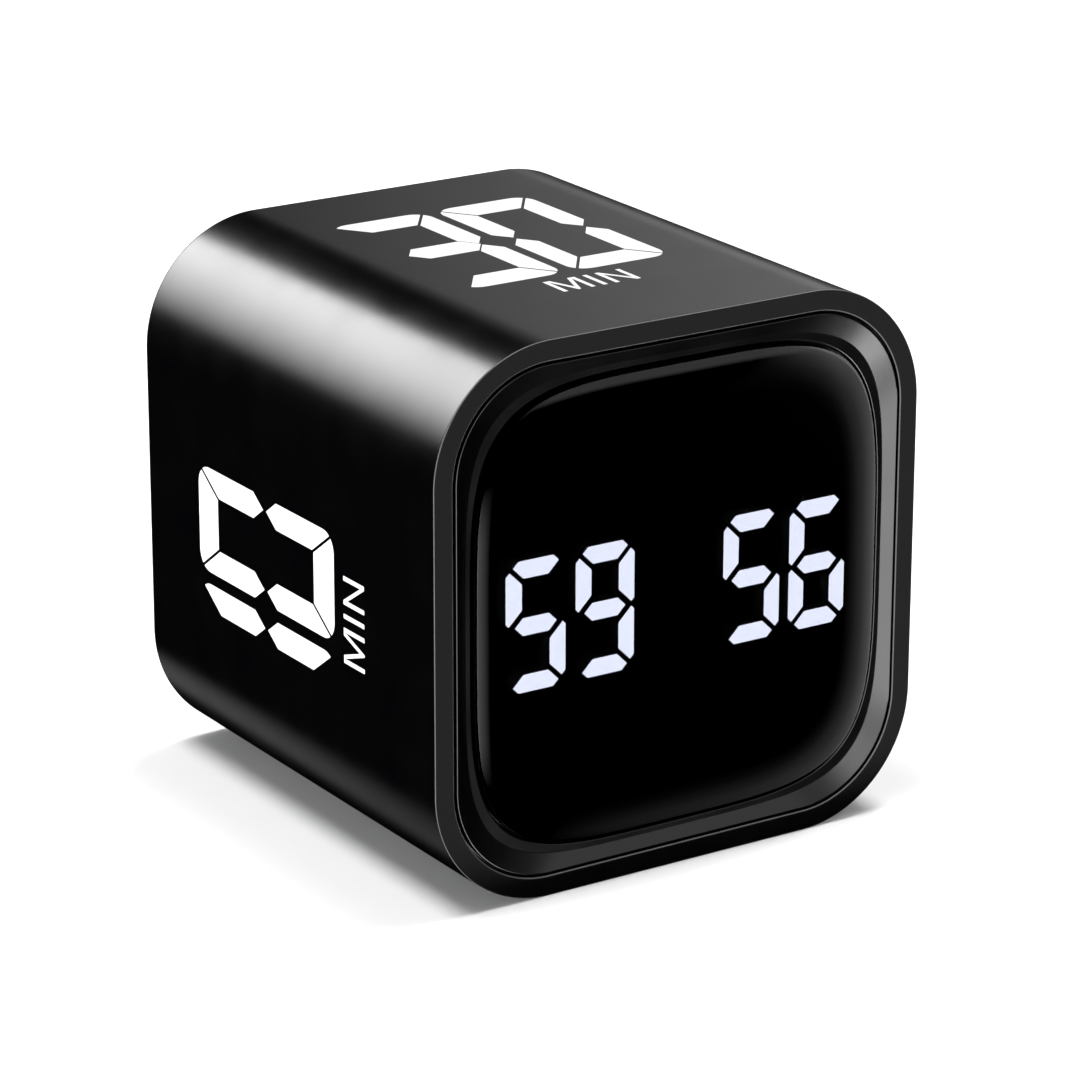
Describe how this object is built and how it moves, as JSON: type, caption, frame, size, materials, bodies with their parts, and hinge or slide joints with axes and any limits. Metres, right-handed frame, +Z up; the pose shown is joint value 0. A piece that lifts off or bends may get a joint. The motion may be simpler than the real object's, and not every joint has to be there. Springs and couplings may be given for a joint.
{
  "type": "flip timer",
  "caption": "Cube flip timer with rounded long edges, a smoked lens over a seven-segment display, a battery door and push buttons behind.",
  "frame": {"origin": "middle of the underside", "axes": "+Z up, +X to the right seen from the front, the display faces -Y"},
  "size_m": [0.06, 0.06, 0.06],
  "materials": {
    "case_black": "satin moulded",
    "bezel_black": "satin moulded",
    "smoked_lens": "polished smoked acrylic",
    "tape_black": "matt foam tape",
    "housing_black": "matt moulded",
    "segment_white": "cast diffusing resin, lit",
    "segment_dark": "cast diffusing resin, off",
    "led_yellow": "phosphor on a chip",
    "board_green": "solder mask on glass laminate",
    "chip_black": "matt moulded epoxy",
    "steel": "bright drawn",
    "ball_brass": "polished",
    "screw_black": "black zinc",
    "cell_wrap": "shrink film on a steel can",
    "contact_nickel": "nickel plated",
    "button_black": "satin moulded",
    "knob_grey": "satin moulded",
    "plunger_white": "moulded nylon",
    "ribbon_grey": "extruded ribbon",
    "socket_cream": "moulded nylon",
    "lead_red": "extruded insulation",
    "lead_black": "extruded insulation"
  },
  "bodies": {
    "case": {"case_sleeve": "case_black", "front_bezel": "bezel_black", "lens": "smoked_lens", "lens_tape": "tape_black", "digit_housing": "housing_black", "lit_segments": "segment_white", "dark_segments": "segment_dark", "led_chips": "led_yellow", "display_board": "board_green", "controller_chip": "chip_black", "left_tilt_can": "steel", "right_tilt_can": "steel", "board_screws": "steel", "rear_cover": "case_black", "cover_screws": "screw_black", "battery_cells": "cell_wrap", "contact_plates": "contact_nickel", "contact_springs": "contact_nickel", "left_board": "board_green", "right_board": "board_green", "sound_switch_body": "steel", "buzzer": "chip_black", "tact_switches": "chip_black", "left_ribbon": "ribbon_grey", "right_ribbon": "ribbon_grey", "board_sockets": "socket_cream", "red_lead": "lead_red", "black_lead": "lead_black"},
    "minute_key": {"minute_button": "button_black", "minute_plunger": "plunger_white"},
    "second_key": {"second_button": "button_black", "second_plunger": "plunger_white"},
    "start_key": {"start_button": "button_black", "start_plunger": "plunger_white"},
    "sound_slider": {"sound_knob": "knob_grey"},
    "door": {"battery_door": "case_black"},
    "left_ball": {"left_tilt_ball": "ball_brass"},
    "right_ball": {"right_tilt_ball": "ball_brass"}
  },
  "joints": [
    {"name": "minute_press", "type": "slide", "parent": "case", "child": "minute_key", "axis": [0, -1, 0], "range_m": [0, 0.00035], "stiffness_N_per_m": 500, "springref_m": -0.002},
    {"name": "second_press", "type": "slide", "parent": "case", "child": "second_key", "axis": [0, -1, 0], "range_m": [0, 0.00035], "stiffness_N_per_m": 500, "springref_m": -0.002},
    {"name": "start_press", "type": "slide", "parent": "case", "child": "start_key", "axis": [0, -1, 0], "range_m": [0, 0.00035], "stiffness_N_per_m": 500, "springref_m": -0.002},
    {"name": "sound_slide", "type": "slide", "parent": "case", "child": "sound_slider", "axis": [0, 0, 1], "range_m": [-0.002, 0.002]},
    {"name": "door_swing", "type": "hinge", "parent": "case", "child": "door", "pos_m": [0, 0.0283, 0.00535], "axis": [-1, 0, 0], "range_deg": [0, 70]},
    {"name": "left_ball_roll", "type": "slide", "parent": "case", "child": "left_ball", "axis": [-0.7071, 0, 0.7071], "range_m": [0, 0.0075]},
    {"name": "right_ball_roll", "type": "slide", "parent": "case", "child": "right_ball", "axis": [0.7071, 0, 0.7071], "range_m": [0, 0.0075]}
  ]
}
